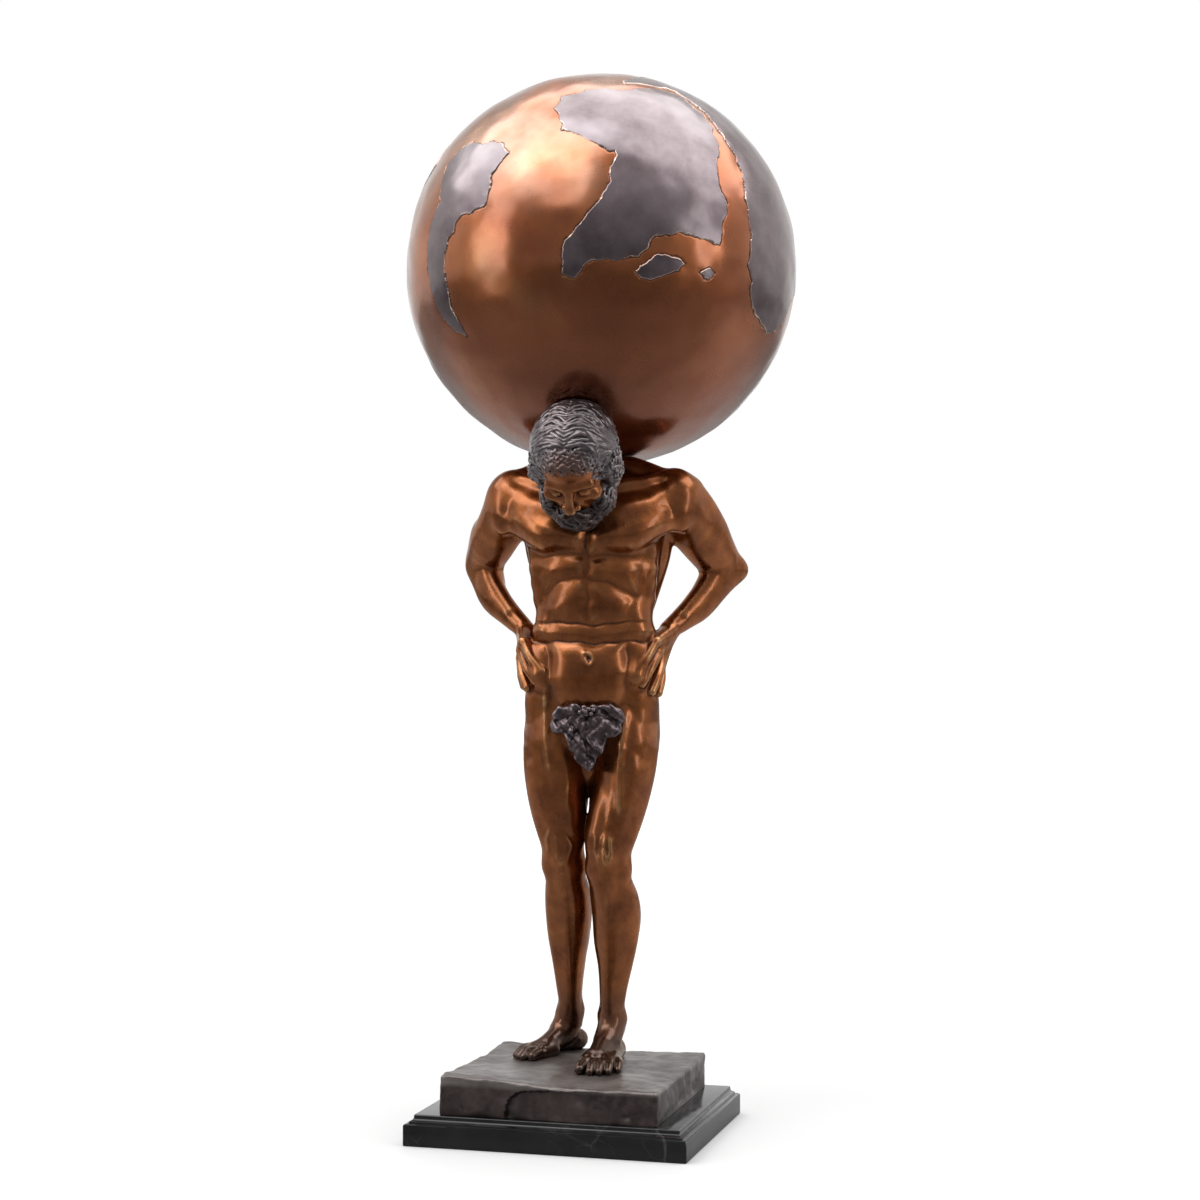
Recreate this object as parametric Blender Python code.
"""Atlas statue: a bearded bronze man, hands on his hips, bears a terrestrial globe on his nape.

The figure stands on a rough block of ground cast with it, and the block on a stepped marble base.
The work looks along -Y, its origin is the middle of the marble's underside, and sizes are in metres.
"""
import math

import bmesh
import bpy
from mathutils import Euler, Matrix, Vector
from mathutils.geometry import delaunay_2d_cdt

# Driving dimensions.
FIGURE_HEIGHT = 0.600
FIGURE_PLACE = (0.007, 0.022)
FIGURE_TURN = math.radians(10)
FOOT_SINK = 0.0012

GLOBE_RADIUS = 0.1776
COAST_RELIEF = 0.0010

GROUND_WIDTH = 0.194
GROUND_DEPTH = 0.180
GROUND_HEIGHT = 0.0303
GROUND_BACK = -0.0026
GROUND_EDGE = 0.0026

MARBLE_WIDTH = 0.250
MARBLE_DEPTH = 0.209
MARBLE_SLAB = 0.0188
MARBLE_STEP = 0.0073
MARBLE_STEP_IN = 0.0075
MARBLE_CHAMFER = 0.0012

REST_GAP = 0.0003

# Worked out from them. The tables of forms give millimetres on a figure 600 mm tall when it stands
# upright, with heights from the floor; SOLES is the height of its soles there.
TABLE_FIGURE = 600.0
SOLES = 56.4
UNIT = FIGURE_HEIGHT / TABLE_FIGURE
GROUND_FOOT = MARBLE_SLAB + MARBLE_STEP + REST_GAP
GROUND_TOP = GROUND_FOOT + GROUND_HEIGHT
GLOBE_SEAT = (0.2, 21.6, 592.2)
GLOBE_LEAN = Vector((0.024, 0.149, 0.988)).normalized()

# Triangles kept on each form.
BODY_FACES = 3900
HEAD_FACES = 1900
VOXEL = 2.2 * UNIT
HEAD_VOXEL = 1.5 * UNIT

# Trunk and legs, top view ellipses: height, centre x, centre y, half width, half depth.
TRUNK = [
    (318, 0, 6, 20, 14), (328, 0, 6, 40, 26), (345, 0, 6, 56, 37), (360, 1, 5, 59, 40),
    (378, 1, 4, 59.5, 41), (405, 1, 1, 55, 38.5), (432, 3, -2, 51, 35.5), (457, 4, -3, 51, 34.5),
    (480, 3.5, -1, 54, 36), (505, 3, 1, 58, 39), (530, 2, 3, 62, 41), (552, 1, 4, 62, 39),
    (570, 0, 6, 52, 31), (586, -1, 8, 26, 23), (594, -1, 8, 10, 10),
]
RIGHT_LEG = [
    (80, -24, 52, 10.5, 12.5), (98, -24, 50, 10.5, 12.5), (118, -23.4, 45, 11.4, 13),
    (140, -22.6, 38, 13.8, 15.5), (165, -22.5, 29, 17.8, 19.5), (190, -22.2, 20, 19.4, 21.5),
    (208, -22.4, 12, 18.8, 20), (222, -23.6, 6, 17.8, 18.5), (238, -24.7, 1, 18.6, 20),
    (256, -25.6, 0, 19.2, 22.5), (280, -27.8, 0, 23.5, 27.5), (300, -29.5, 1, 26, 31),
    (325, -30.5, 3, 28, 35), (352, -29.5, 4, 29, 37), (376, -25, 4, 22, 28), (392, -22, 4, 8, 12),
]
LEFT_LEG = [
    (80, 17.4, 20, 10.8, 12.5), (98, 17.4, 19, 10.8, 12.5), (118, 17.9, 16, 11.6, 13),
    (140, 19.8, 11, 14.4, 15.5), (164, 21.4, 5, 19, 19.5), (188, 23.2, -3, 21.2, 21.5),
    (206, 21.5, -10, 20.7, 20.5), (222, 18.3, -16, 19, 19), (240, 17.6, -19, 19.6, 20.5),
    (258, 19.6, -17, 21.5, 23), (284, 25, -10, 24.5, 28), (302, 28.4, -6, 26, 31),
    (325, 31, -1, 28, 35), (352, 31, 2, 29, 37), (376, 26, 3, 22, 28), (392, 22, 4, 8, 12),
]
SQUARENESS = 2.3
CHEST_SHIFT = 3.5

HEAD_PLACE = Vector((-6, -73, 589))
HEAD_BOW = 45
HEAD_TURN = -7
HEAD_SIZE = 1.08


class Clay:
    """A lump of overlapping balls, rods and lofts in one mesh, to be fused into a single skin."""

    def __init__(self):
        self.mesh = bmesh.new()
        self.frame = Matrix.Identity(4)

    def ball(self, centre, radii, turn=(0, 0, 0)):
        spin = Euler([math.radians(a) for a in turn]).to_matrix().to_4x4()
        place = self.frame @ Matrix.Translation(centre) @ spin @ Matrix.Diagonal((*radii, 1))
        bmesh.ops.create_icosphere(self.mesh, subdivisions=3, radius=1, matrix=place)

    def rod(self, a, b, radius_a, radius_b):
        rod = bmesh.new()
        for end, radius in ((a, radius_a), (b, radius_b)):
            bmesh.ops.create_icosphere(rod, subdivisions=2, radius=radius, matrix=Matrix.Translation(end))
        hull = bmesh.ops.convex_hull(rod, input=rod.verts)
        inner = [part for part in hull["geom_interior"] if isinstance(part, bmesh.types.BMVert)]
        bmesh.ops.delete(rod, geom=inner, context="VERTS")
        bmesh.ops.transform(rod, matrix=self.frame, verts=rod.verts)
        copy_into(self.mesh, rod)

    def chain(self, points, radii):
        for i in range(len(points) - 1):
            self.rod(points[i], points[i + 1], radii[i], radii[i + 1])

    def loft(self, rows, sides=28, steps=3):
        rings = []
        for i in range((len(rows) - 1) * steps + 1):
            z, cx, cy, a, b = smooth_row(rows, i / steps)
            ring = []
            for j in range(sides):
                x, y = oval(a, b, math.tau * j / sides)
                ring.append(self.mesh.verts.new(self.frame @ Vector((cx + x, cy + y, z))))
            rings.append(ring)
        for low, high in zip(rings, rings[1:]):
            for j in range(sides):
                k = (j + 1) % sides
                self.mesh.faces.new((low[j], low[k], high[k], high[j]))
        self.mesh.faces.new(rings[0][::-1])
        self.mesh.faces.new(rings[-1])


def copy_into(target, source):
    verts = {v: target.verts.new(v.co) for v in source.verts}
    for face in source.faces:
        target.faces.new([verts[v] for v in face.verts])
    source.free()


def oval(a, b, angle):
    """A point of the squared ellipse that every section of the body follows."""
    c, s = math.cos(angle), math.sin(angle)
    power = 2 / SQUARENESS
    return math.copysign(a * abs(c) ** power, c), math.copysign(b * abs(s) ** power, s)


def smooth_row(rows, at):
    """The section a share of the way between two rows, on a smooth curve through all of them."""
    i = min(int(at), len(rows) - 2)
    t = at - i
    p = [rows[max(i - 1, 0)], rows[i], rows[i + 1], rows[min(i + 2, len(rows) - 1)]]
    return [catmull_rom(*(row[k] for row in p), t) if k else p[1][0] + (p[2][0] - p[1][0]) * t
            for k in range(5)]


def catmull_rom(a, b, c, d, t):
    return b + 0.5 * t * (c - a + t * (2 * a - 5 * b + 4 * c - d + t * (3 * (b - c) + d - a)))


def section_at(rows, z):
    for low, high in zip(rows, rows[1:]):
        if low[0] <= z <= high[0]:
            t = (z - low[0]) / (high[0] - low[0])
            return [low[k] + (high[k] - low[k]) * t for k in range(1, 5)]


def on_trunk(side, degrees, z, lift):
    """A point on the trunk's skin, its angle measured from the front towards one side."""
    cx, cy, a, b = section_at(TRUNK, z)
    x, y = oval(a, b, math.radians(degrees - 90))
    out = Vector((x / a ** 2, y / b ** 2)).normalized() * lift
    return Vector((side * (cx + x + out.x), cy + y + out.y, z))


def model_trunk(clay):
    clay.loft(TRUNK)
    mid = CHEST_SHIFT
    for side in (-1, 1):
        slim = 0 if side > 0 else 3
        clay.ball((side * 26, 30, 362), (27, 22, 29), (8, 0, 0))
        back_muscle = [(56 - slim, 18, 532), (53 - slim, 19, 508), (46 - slim, 19, 482), (38, 18, 455)]
        clay.chain([(mid + side * x, y, z) for x, y, z in back_muscle], [14, 13, 12, 11])
        beside_spine = [(11, 29, 380), (12, 33, 430), (12, 34, 490), (11, 34, 545)]
        clay.chain([(side * x, y, z) for x, y, z in beside_spine], [8, 9.5, 9, 8])
        clay.ball((side * 36, 31, 545), (24, 12, 26), (0, side * 18, 0))
        neck_to_shoulder = [(8, 15, 590), (34, 12, 582), (60, 9, 573), (74, 7, 566)]
        clay.chain([(side * x, y, z) for x, y, z in neck_to_shoulder], [14, 15, 14, 12])
        clay.ball((side * 60, 6, 552), (24, 24, 23))
        collar_bone = [(6, -24, 562), (34, -21, 571), (66, -6, 578)]
        clay.chain([(side * x, y, z) for x, y, z in collar_bone], [4, 4, 4.5])
        lower_chest = [(15, -30, 525), (36, -28.5, 527), (56, -17, 538), (72, -6, 544)]
        clay.chain([(side * x, y, z) for x, y, z in lower_chest], [13.5, 15, 13.5, 12])
        upper_chest = [(16, -27, 543), (40, -23, 549), (64, -10, 556)]
        clay.chain([(side * x, y, z) for x, y, z in upper_chest], [11, 12, 11])
        flank = [(28, -21, 455), (37, -12, 441), (41, 6, 436)]
        clay.chain([(mid + side * x, y, z) for x, y, z in flank], [13, 12.5, 12])
        clay.ball((mid + side * 17, -31.5, 493), (19, 10.5, 11), (0, 0, side * 8))
        clay.ball((mid + side * 13, -31.5, 464), (13, 11.5, 17), (0, 0, side * 5))
        for rib in range(3):
            clay.ball((mid + side * (48 - rib * 1.6), -17 + rib * 2.5, 507 - rib * 15), (9, 11, 6.5),
                      (0, side * 28, side * 30))
        clay.chain([(side * 47, -16, 422), (side * 41, -28, 403)], [10, 8])
        clay.rod((side * 9, -24, 563), (side * 22 - 4, -42, 578), 5, 6)
    clay.ball((0.5, -29, 403), (31, 14, 32))
    clay.ball((0, 2, 325), (9, 20, 22))
    clay.chain([(-24, -30, 440), (4, -33.5, 438), (31, -30, 440)], [6, 6.5, 6])
    clay.rod((-1, 8, 578), (-4, -40, 588), 23, 23)
    clay.ball((0, 14, 580), (28, 24, 18))
    clay.rod((-2, -14, 556), (-5, -44, 570), 22, 22)


def model_leg(clay, rows, side):
    clay.loft(rows)

    def muscle(heights, across, forward, shares):
        """A strand down the leg, placed and sized by shares of the leg's section."""
        points, radii = [], []
        for z, share in zip(heights, shares):
            cx, cy, a, b = section_at(rows, z)
            points.append((cx + side * across * a, cy + forward * b, z))
            radii.append(share * min(a, b))
        clay.chain(points, radii)

    muscle((345, 300, 262), 0.02, -0.66, (0.36, 0.46, 0.40))
    muscle((335, 298, 262), 0.58, -0.30, (0.40, 0.43, 0.42))
    muscle((292, 268, 252), -0.50, -0.38, (0.34, 0.52, 0.48))
    muscle((345, 300, 250), 0.30, 0.50, (0.50, 0.52, 0.40))
    muscle((345, 300, 250), -0.30, 0.50, (0.50, 0.50, 0.40))
    muscle((243, 236), 0, -0.74, (0.42, 0.42))
    muscle((226, 216), 0, -0.78, (0.28, 0.28))
    muscle((216, 190, 160), -0.46, 0.36, (0.48, 0.57, 0.44))
    muscle((216, 196, 172), 0.44, 0.36, (0.48, 0.56, 0.46))
    muscle((205, 165, 120), 0.52, -0.15, (0.44, 0.47, 0.46))
    muscle((222, 180, 130, 100), -0.16, -0.74, (0.28, 0.28, 0.34, 0.36))
    muscle((160, 120, 86), 0, 0.80, (0.38, 0.38, 0.52))
    muscle((99, 94), -0.76, 0, (0.46, 0.46))
    muscle((95, 90), 0.76, 0.15, (0.46, 0.46))


def model_foot(clay, toe, heel, ankle, side, spread):
    """A bare foot from heel to big toe; the little toe lies towards the given side."""
    toe, heel = Vector(toe), Vector(heel)
    along = toe - heel
    inward = Vector((-along.y, along.x)).normalized()
    if inward.x * side > 0:
        inward = -inward

    def at(share, across, height):
        spot = heel + along * share + inward * across * spread
        return (spot.x, spot.y, SOLES + height)

    clay.ball(at(0.06, 0, 9), (10.5, 12, 10))
    clay.rod((*ankle, 92), at(0.30, 0, 20), 11, 11)
    clay.rod(at(0.25, 1, 20), at(0.62, 3, 10), 11.5, 9)
    clay.rod(at(0.12, -3, 7), at(0.66, -8, 6), 8, 6)
    clay.rod(at(0.60, 8, 7), at(0.76, 8.5, 6.5), 7.5, 7)
    clay.rod(at(0.62, -2, 7), at(0.76, -5, 5.5), 7, 6)
    toes = [(9.3, 0.96, 4.9), (2.4, 1.0, 3.9), (-3.2, 0.98, 3.8), (-8.6, 0.94, 3.6), (-13.4, 0.85, 3.4)]
    for across, share, radius in toes:
        clay.chain([at(share - 0.25, across * 0.82, 7), at(share - 0.11, across, 6.8),
                    at(share - 0.02, across * 1.02, radius - 0.4)],
                   [radius + 0.6, radius, radius * 0.92])


def model_arm(clay, side, shoulder, upper, elbow, fore, wrist, tip):
    shoulder, upper, elbow, fore, wrist, tip = map(Vector, (shoulder, upper, elbow, fore, wrist, tip))

    def off(base, x, y, z):
        return base + Vector((side * x, y, z))

    clay.ball(off(shoulder, 1, 0, 0), (18, 22, 26), (0, side * -12, 0))
    clay.ball(off(shoulder, 7, 6, -15), (13.5, 18, 26), (12, side * -18, 0))
    clay.ball(off(shoulder, -2, -10, -9), (14, 13, 23), (-6, side * -14, 0))
    clay.chain([shoulder, upper, elbow], [17, 19, 15.5])
    clay.chain([off(shoulder, -4, 12, -20), off(upper, -5, 3, -9), off(upper.lerp(elbow, 0.6), -4, 0, -5)],
               [14, 13.5, 12])
    clay.chain([off(shoulder.lerp(upper, 0.6), 6, 10, -2), off(upper, 8 + side, 11, 2),
                off(upper.lerp(elbow, 0.75), 5, 6, 1)], [12, 13.5, 10])
    clay.chain([off(shoulder.lerp(upper, 0.7), -3, -8, -5), off(upper.lerp(elbow, 0.35), -4, -8, -3),
                off(upper.lerp(elbow, 0.9), -4, -7, 0)], [11, 12, 8])
    clay.rod(elbow, tip, 13, 7)
    clay.chain([elbow, elbow.lerp(fore, 0.5), fore, wrist], [14.5, 14.8, 13, 9])
    clay.chain([off(elbow, -3, -8, 7), off(elbow.lerp(fore, 0.6), -1, -7, 4),
                off(fore.lerp(wrist, 0.5), 0, -4, 3)], [8, 8.5, 6])
    clay.chain([off(elbow, 5, 3, -5), off(fore, 4, 3, -3), off(fore.lerp(wrist, 0.7), 2, 2, -2)],
               [8.5, 8.5, 5.5])


def model_hand(clay, side, wrist, fingers):
    """A hand laid on the hip; each finger gives the angle round the trunk and height of its joints."""
    wrist = Vector(wrist)
    for i, joints in enumerate(fingers):
        base, mid, tip = (on_trunk(side, angle, z, lift)
                          for (angle, z), lift in zip(joints, (7.0, 5.8, 4.2)))
        thin = 0.6 * (i // 3)
        clay.rod(wrist + Vector((0, (i - 1.5) * 3, -1 - i * 0.6)), base, 6.8, 5.4)
        clay.chain([base, mid, tip], [4.8 - thin, 4.3 - thin, 3.8 - thin])
    thumb = [on_trunk(side, angle, z, lift) for angle, z, lift in ((104, 437, 9), (124, 428, 6.5), (142, 423, 4))]
    clay.chain(thumb, [5.4, 4.8, 4.2])


def model_leaf(clay):
    """The fig leaf: a long middle lobe, two spread side lobes and a crumpled stalk above."""
    lobes = [(0.5, 345, 10, 25, 0), (-16, 364, 16, 10.5, 22), (17, 364, 16, 10.5, -22),
             (-11, 352, 9, 13, 28), (12, 352, 9, 13, -28)]
    for x, z, half_width, half_height, turn in lobes:
        clay.ball((x, -43.5 + abs(x) * 0.12, z), (half_width, 6.5, half_height), (8, turn, 0))
    clay.ball((1, -47, 371), (7, 6, 6))
    clay.ball((0, -38, 345), (14, 9, 22))


def model_head(clay):
    """The bowed head in its own frame: y to the back of the skull, z to its crown."""
    clay.frame = (Matrix.Translation(HEAD_PLACE) @ Euler((math.radians(HEAD_BOW), 0, math.radians(HEAD_TURN))).to_matrix().to_4x4()
                  @ Matrix.Scale(HEAD_SIZE, 4))
    clay.ball((0, -12, -10), (22.5, 24, 30))
    clay.ball((0, -18, 14), (22, 19, 15))
    for side in (-1, 1):
        clay.rod((side * 5, -34.5, 1.5), (side * 17, -29, 1.0), 3.6, 3.4)
        clay.ball((side * 16, -24.5, -11), (8, 8, 6.5))
        clay.ball((side * 10.5, -29.8, -5.5), (5.6, 4.6, 4.4))
        clay.ball((side * 4.6, -36, -17), (3.6, 4, 3.2))
    clay.rod((0, -34.5, 0), (0, -41, -15.5), 3.2, 4.0)
    clay.rod((0, 12, -8), (0, 30, -34), 22, 22)
    model_hair(clay)
    model_beard(clay)
    clay.frame = Matrix.Identity(4)


def skull_point(side, across, back, lift):
    """A point on the cap of hair: angles from the parting outward and from the brow backward."""
    a, b = math.radians(across), math.radians(back)
    out = Vector((side * math.sin(a), -math.cos(a) * math.cos(b), math.cos(a) * math.sin(b)))
    radii = (35, 39, 33.5)
    skin = Vector(out[k] * radii[k] for k in range(3))
    return Vector((0, 6, 12)) + skin + out * lift


def model_hair(clay):
    clay.ball((0, 6, 12), (34, 38, 32.5))
    clay.ball((0, 14, -4), (32, 28, 30))
    for side in (-1, 1):
        clay.ball((side * 30.5, -1, -4), (8, 14.5, 17.5), (8, 0, 0))
        clay.ball((side * 22, -14, -27), (8.5, 13.5, 14.5), (20, 0, 0))
        for row in range(6):
            back = 18 + row * 17
            wave = [skull_point(side, across, back + 7 * math.sin(math.radians(across * 5 + row * 80)), 0.4)
                    for across in range(4, 72 - row * 3, 11)]
            clay.chain(wave, [2.6] * len(wave))


def model_beard(clay):
    clay.ball((0, -20, -34), (21, 18, 15))
    clay.ball((0, -16, -44), (16, 13, 13))
    for side in (-1, 1):
        clay.chain([(side * 2, -38.5, -22), (side * 9, -36, -26), (side * 15, -30, -31)], [3.4, 3.8, 3.2])
        for row in range(4):
            for curl in range(3):
                across = 4 + curl * (7.5 - row * 0.6)
                place = (side * across, -35.5 + curl * 3.6 + row * 2.6, -31 - row * 7 + curl * 2)
                clay.ball(place, (4.4, 4, 4.8), (0, side * 30, 0))


def build_figure(globe_centre):
    """One casting: the body, the bowed head and the ground block, hollowed where the globe rests."""
    body = Clay()
    model_trunk(body)
    model_leg(body, RIGHT_LEG, -1)
    model_leg(body, LEFT_LEG, 1)
    model_foot(body, toe=(-64, 0), heel=(-17, 70), ankle=(-24, 50), side=-1, spread=1.12)
    model_foot(body, toe=(8, -64), heel=(18, 35), ankle=(17.4, 17), side=1, spread=1.38)
    model_arm(body, -1, (-75, 5, 558), (-91, 27, 527), (-104, 57, 503), (-90, 38, 470), (-60, 13, 441),
              (-111, 64, 498))
    model_arm(body, 1, (78, 6, 560), (95, 29, 529), (114, 60, 497), (93, 39, 464), (69, 14, 442),
              (131, 66, 495))
    model_hand(body, -1, (-60, 13, 441), [((72, 431), (55, 418), (39, 406)), ((81, 424), (64, 411), (48, 398)),
                                          ((90, 417), (75, 404), (60, 391)), ((97, 414), (84, 403), (69, 392))])
    model_hand(body, 1, (69, 14, 442), [((75, 432), (57, 418), (42, 404)), ((82, 423), (64, 410), (49, 395)),
                                        ((91, 415), (76, 401), (62, 388)), ((100, 411), (88, 398), (76, 386))])
    model_leaf(body)
    head = Clay()
    model_head(head)
    figure = fuse(body, "atlas_figure", VOXEL, BODY_FACES)
    head = fuse(head, "head_form", HEAD_VOXEL, HEAD_FACES)
    block = build_ground()
    seat = ball_object("globe_seat", globe_centre, (GLOBE_RADIUS + REST_GAP) / math.cos(math.pi / 128), 128)
    for tool, operation in ((head, "UNION"), (block, "UNION"), (seat, "DIFFERENCE")):
        combine(figure, tool, operation)
    finish(figure, "bronze_figure", (0.25, 0.105, 0.052), 0.38, 0.9)
    return figure


def figure_frame():
    """From the table's millimetres to the figure's place on the ground block."""
    return (Matrix.Translation((*FIGURE_PLACE, GROUND_TOP - FOOT_SINK)) @ Matrix.Rotation(FIGURE_TURN, 4, "Z")
            @ Matrix.Scale(UNIT, 4) @ Matrix.Translation((0, 0, -SOLES)))


def fuse(clay, name, voxel, faces):
    """Melt a lump's forms into one skin, soften the joins and keep a fair number of faces."""
    bmesh.ops.transform(clay.mesh, matrix=figure_frame(), verts=clay.mesh.verts)
    lump = mesh_object(name, clay.mesh)
    remesh = lump.modifiers.new("fuse", "REMESH")
    remesh.mode = "VOXEL"
    remesh.voxel_size = voxel
    soften = lump.modifiers.new("soften", "SMOOTH")
    soften.factor = 0.5
    soften.iterations = 3
    bake(lump)
    keep_outer_skin(lump)
    thin = lump.modifiers.new("thin", "DECIMATE")
    thin.ratio = faces / sum(len(p.vertices) - 2 for p in lump.data.polygons)
    thin.use_collapse_triangulate = True
    bake(lump)
    return lump


def keep_outer_skin(lump):
    """Drop the small closed pockets that may lie between overlapping forms."""
    mesh = bmesh.new()
    mesh.from_mesh(lump.data)
    islands, seen = [], set()
    for start in mesh.verts:
        if start in seen:
            continue
        island, front = set(), [start]
        while front:
            vert = front.pop()
            if vert in island:
                continue
            island.add(vert)
            front.extend(edge.other_vert(vert) for edge in vert.link_edges)
        seen |= island
        islands.append(island)
    islands.sort(key=len)
    bmesh.ops.delete(mesh, geom=[v for island in islands[:-1] for v in island], context="VERTS")
    mesh.to_mesh(lump.data)
    mesh.free()


def build_ground():
    """The rough block of ground: a dressed slab with a worn top, wavering sides and a crack in front."""
    mesh = bmesh.new()
    columns, rows, layers = 12, 10, 4
    shell = {}

    def spot(i, j, k):
        if (i, j, k) not in shell:
            u, v, w = i / columns * 2 - 1, j / rows * 2 - 1, k / layers
            x, y = u * GROUND_WIDTH / 2, v * GROUND_DEPTH / 2
            worn = GROUND_EDGE * w ** 3
            side_wave = 0.0009 * math.sin(11 * u + 3 * w) * math.cos(9 * v - 2 * w)
            notch = 0.003 * math.exp(-((v + 1) / 0.1) ** 2 - ((w - 0.45 - 0.25 * u) / 0.16) ** 2)
            x *= 1 - (worn + abs(side_wave)) / GROUND_WIDTH * 2
            y *= 1 - (worn + abs(side_wave) + notch) / GROUND_DEPTH * 2
            rise = w * (GROUND_HEIGHT + 0.0014 * math.sin(3.1 * u + 1) * math.cos(2.6 * v) - 0.0016 * u * (1 - v))
            shell[i, j, k] = mesh.verts.new((x, y + GROUND_BACK, GROUND_FOOT + rise))
        return shell[i, j, k]

    for i in range(columns):
        for j in range(rows):
            mesh.faces.new((spot(i, j, 0), spot(i, j + 1, 0), spot(i + 1, j + 1, 0), spot(i + 1, j, 0)))
            mesh.faces.new((spot(i, j, layers), spot(i + 1, j, layers), spot(i + 1, j + 1, layers),
                            spot(i, j + 1, layers)))
    for k in range(layers):
        for i in range(columns):
            mesh.faces.new((spot(i, 0, k), spot(i + 1, 0, k), spot(i + 1, 0, k + 1), spot(i, 0, k + 1)))
            mesh.faces.new((spot(i + 1, rows, k), spot(i, rows, k), spot(i, rows, k + 1),
                            spot(i + 1, rows, k + 1)))
        for j in range(rows):
            mesh.faces.new((spot(0, j + 1, k), spot(0, j, k), spot(0, j, k + 1), spot(0, j + 1, k + 1)))
            mesh.faces.new((spot(columns, j, k), spot(columns, j + 1, k), spot(columns, j + 1, k + 1),
                            spot(columns, j, k + 1)))
    return mesh_object("ground_form", mesh)


# Coasts, as degrees round the globe from its front towards the viewer's right, and degrees up.
COASTS = {
    "africa": [(-3, 52), (-3, 45), (4, 36), (21, 28), (18, 17), (12, 8), (5, 1), (4, -7), (7, -8), (13, -4),
               (26, -4), (28, -2), (31, 2), (40, 4), (50, 2), (52, 8), (56, 13), (54, 17), (52, 24),
               (58, 33), (61, 40), (61, 48), (58, 54), (43, 56), (26, 54.5), (9, 54)],
    "large_island": [(25, -8), (27, -6), (31, -3), (35, -3), (39, -5), (38, -7), (32, -9), (27, -10)],
    "islet": [(44, -6), (46.5, -5), (49, -6), (47, -8.5)],
    "eurasia": [(29, 60), (44, 59), (57, 58), (66, 50), (64, 39), (65, 28), (63, 14), (64, 2), (61, -5),
                (63, -12), (68, -17), (77, -21), (84, -21), (91, -11), (104, -4), (112, -13), (122, -9),
                (128, 4), (142, 10), (156, 22), (170, 30), (188, 42), (196, 56), (170, 68), (100, 74),
                (45, 70)],
    "south_america": [(-40, 35), (-28, 34), (-19, 33), (-14, 29), (-18, 22), (-20, 14), (-30, 9), (-34, 2),
                      (-33, -14), (-31, -24), (-36, -22), (-41, -12), (-45, -1), (-43, 9), (-41, 16),
                      (-46, 29)],
    "north_america": [(-66, 42), (-62, 32), (-70, 24), (-84, 15), (-90, 22), (-104, 20), (-118, 32),
                      (-138, 44), (-150, 58), (-120, 70), (-80, 62)],
    "australia": [(128, -32), (136, -24), (150, -25), (160, -20), (170, -32), (160, -44), (142, -42)],
}
COAST_STEP = math.radians(9)


def globe_direction(degrees_round, degrees_up):
    a, b = math.radians(degrees_round), math.radians(degrees_up)
    return Vector((math.cos(b) * math.sin(a), -math.cos(b) * math.cos(a), math.sin(b)))


def build_continent(name, coast, centre):
    """A plate of land standing a little proud of the sea, its coast a ring of short straight steps."""
    ring = []
    corners = [globe_direction(*corner) for corner in coast]
    for a, b in zip(corners, corners[1:] + corners[:1]):
        steps = max(1, math.ceil(a.angle(b) / COAST_STEP))
        ring += [a.lerp(b, i / steps).normalized() for i in range(steps)]
    middle = sum(ring, Vector()).normalized()
    turn = middle.to_track_quat("Z", "Y")
    flat = [flatten(turn.inverted() @ d) for d in ring]
    reach = max(p.length for p in flat)
    count = int(reach / COAST_STEP) + 1
    inner = [Vector((i, j)) * COAST_STEP for i in range(-count, count + 1) for j in range(-count, count + 1)]
    inner = [p for p in inner if inside(p, flat) and min((p - q).length for q in flat) > 0.5 * COAST_STEP]
    edges = [(i, (i + 1) % len(flat)) for i in range(len(flat))]
    points, _, faces, *_ = delaunay_2d_cdt(flat + inner, edges, [], 1, 1e-5)
    mesh = bmesh.new()
    layers = []
    for radius in (GLOBE_RADIUS + COAST_RELIEF, GLOBE_RADIUS * 0.98):
        layers.append([mesh.verts.new(centre + turn @ unflatten(p) * radius) for p in points])
    for face in faces:
        mesh.faces.new([layers[0][i] for i in face])
        mesh.faces.new([layers[1][i] for i in reversed(face)])
    for edge in [e for e in mesh.edges if e.is_boundary and e.verts[0] in set(layers[0])]:
        i, j = (layers[0].index(v) for v in edge.verts)
        mesh.faces.new((layers[0][i], layers[0][j], layers[1][j], layers[1][i]))
    bmesh.ops.recalc_face_normals(mesh, faces=mesh.faces)
    return mesh_object(name, mesh)


def flatten(direction):
    """A direction near +Z laid out flat, its length the angle from +Z."""
    level = Vector((direction.x, direction.y))
    if level.length < 1e-9:
        return level
    return level.normalized() * math.atan2(level.length, direction.z)


def unflatten(point):
    angle = point.length
    if angle < 1e-9:
        return Vector((0, 0, 1))
    return Vector((*(point / angle * math.sin(angle)), math.cos(angle)))


def inside(point, ring):
    crossings = 0
    for a, b in zip(ring, ring[1:] + ring[:1]):
        if (a.y > point.y) != (b.y > point.y):
            crossings += point.x < a.x + (point.y - a.y) * (b.x - a.x) / (b.y - a.y)
    return crossings % 2 == 1


def build_globe(centre):
    globe = ball_object("globe", centre, GLOBE_RADIUS, 40)
    for name, coast in COASTS.items():
        combine(globe, build_continent(name, coast, centre), "UNION")
    finish(globe, "bronze_globe", (0.36, 0.15, 0.065), 0.3, 0.9)
    return globe


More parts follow.
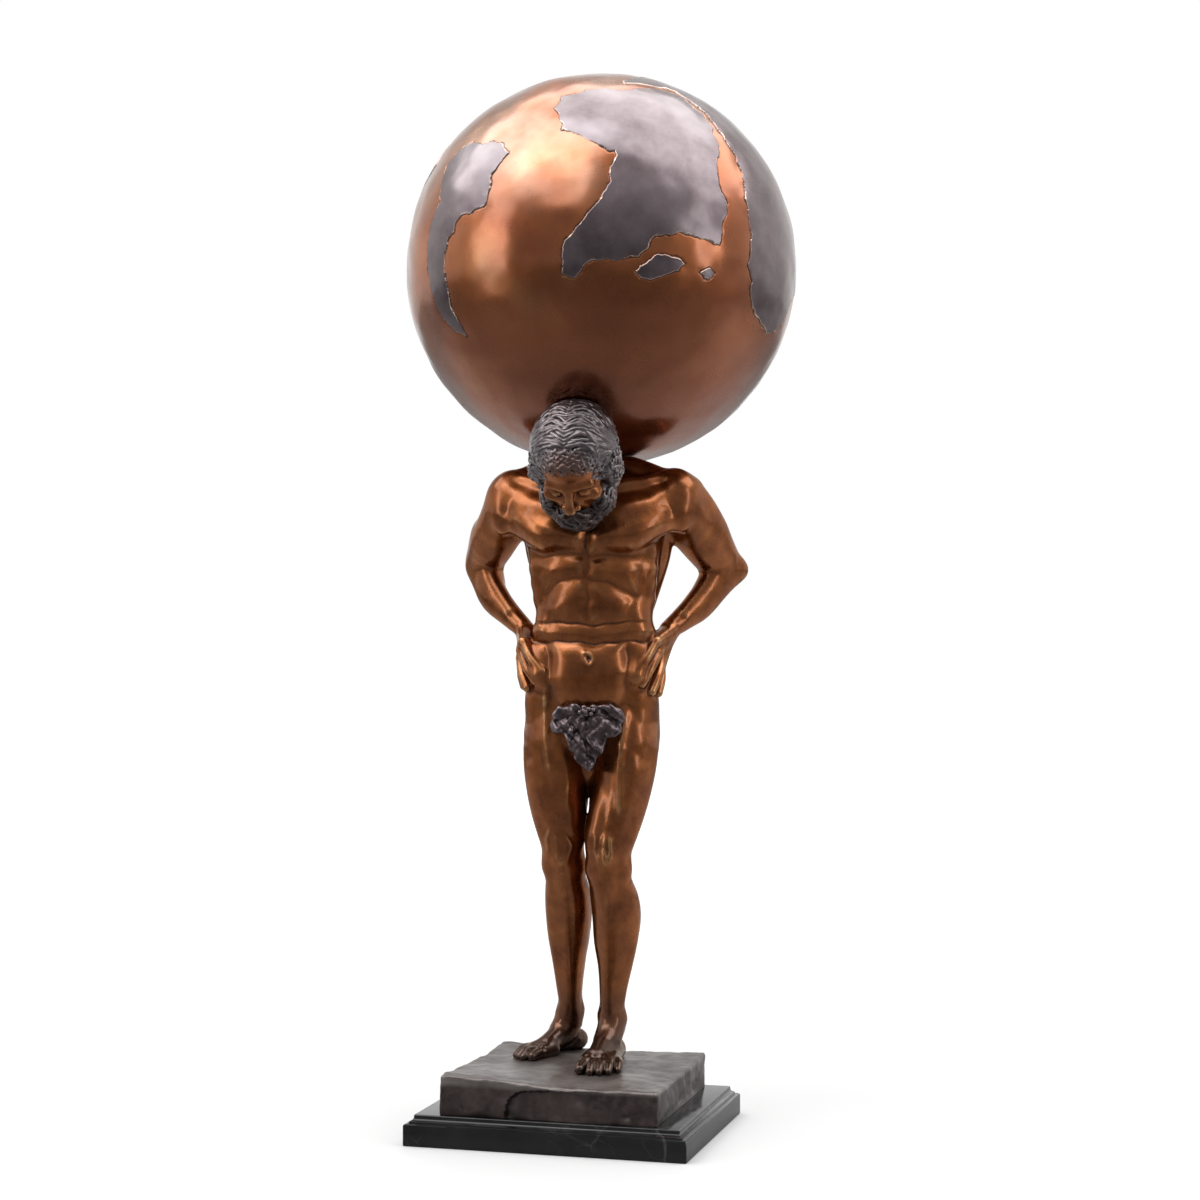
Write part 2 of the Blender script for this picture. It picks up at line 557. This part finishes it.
def build_marble():
    """The stepped marble: a square-edged slab with a narrower polished step on it."""
    top = MARBLE_SLAB + MARBLE_STEP
    profile = [(0, 0), (0, MARBLE_SLAB - MARBLE_CHAMFER), (MARBLE_CHAMFER, MARBLE_SLAB),
               (MARBLE_STEP_IN * 0.55, MARBLE_SLAB), (MARBLE_STEP_IN * 0.72, MARBLE_SLAB + MARBLE_STEP * 0.55),
               (MARBLE_STEP_IN, top - MARBLE_CHAMFER), (MARBLE_STEP_IN + MARBLE_CHAMFER, top)]
    mesh = bmesh.new()
    rings = []
    for inset, z in profile:
        x, y = MARBLE_WIDTH / 2 - inset, MARBLE_DEPTH / 2 - inset
        rings.append([mesh.verts.new(corner) for corner in ((-x, -y, z), (x, -y, z), (x, y, z), (-x, y, z))])
    mesh.faces.new(rings[0][::-1])
    mesh.faces.new(rings[-1])
    for low, high in zip(rings, rings[1:]):
        for j in range(4):
            k = (j + 1) % 4
            mesh.faces.new((low[j], low[k], high[k], high[j]))
    marble = mesh_object("marble_base", mesh)
    finish(marble, "black_marble", (0.012, 0.012, 0.014), 0.12, 0.0)
    return marble


def mesh_object(name, mesh):
    data = bpy.data.meshes.new(name)
    mesh.to_mesh(data)
    mesh.free()
    made = bpy.data.objects.new(name, data)
    bpy.context.collection.objects.link(made)
    return made


def ball_object(name, centre, radius, segments):
    mesh = bmesh.new()
    bmesh.ops.create_uvsphere(mesh, u_segments=segments, v_segments=segments // 2, radius=radius,
                              matrix=Matrix.Translation(centre))
    return mesh_object(name, mesh)


def bake(made):
    """Apply the object's modifiers."""
    evaluated = made.evaluated_get(bpy.context.evaluated_depsgraph_get())
    data = bpy.data.meshes.new_from_object(evaluated)
    made.modifiers.clear()
    made.data = data


def combine(made, tool, operation):
    cut = made.modifiers.new(tool.name, "BOOLEAN")
    cut.object = tool
    cut.operation = operation
    cut.solver = "EXACT"
    bake(made)
    bpy.data.objects.remove(tool)


def finish(made, name, colour, roughness, metallic):
    mesh = bmesh.new()
    mesh.from_mesh(made.data)
    bmesh.ops.triangulate(mesh, faces=mesh.faces)
    mesh.to_mesh(made.data)
    mesh.free()
    material = bpy.data.materials.new(name)
    material.use_nodes = True
    surface = material.node_tree.nodes["Principled BSDF"]
    surface.inputs["Base Color"].default_value = (*colour, 1)
    surface.inputs["Roughness"].default_value = roughness
    surface.inputs["Metallic"].default_value = metallic
    made.data.materials.clear()
    made.data.materials.append(material)
    made.data.shade_smooth()
    made.data.set_sharp_from_angle(angle=math.radians(35))


def main():
    for old in list(bpy.data.objects):
        bpy.data.objects.remove(old)
    lean = Matrix.Rotation(FIGURE_TURN, 3, "Z") @ GLOBE_LEAN
    globe_centre = figure_frame() @ Vector(GLOBE_SEAT) + lean * GLOBE_RADIUS
    build_marble()
    build_globe(globe_centre)
    build_figure(globe_centre)


main()
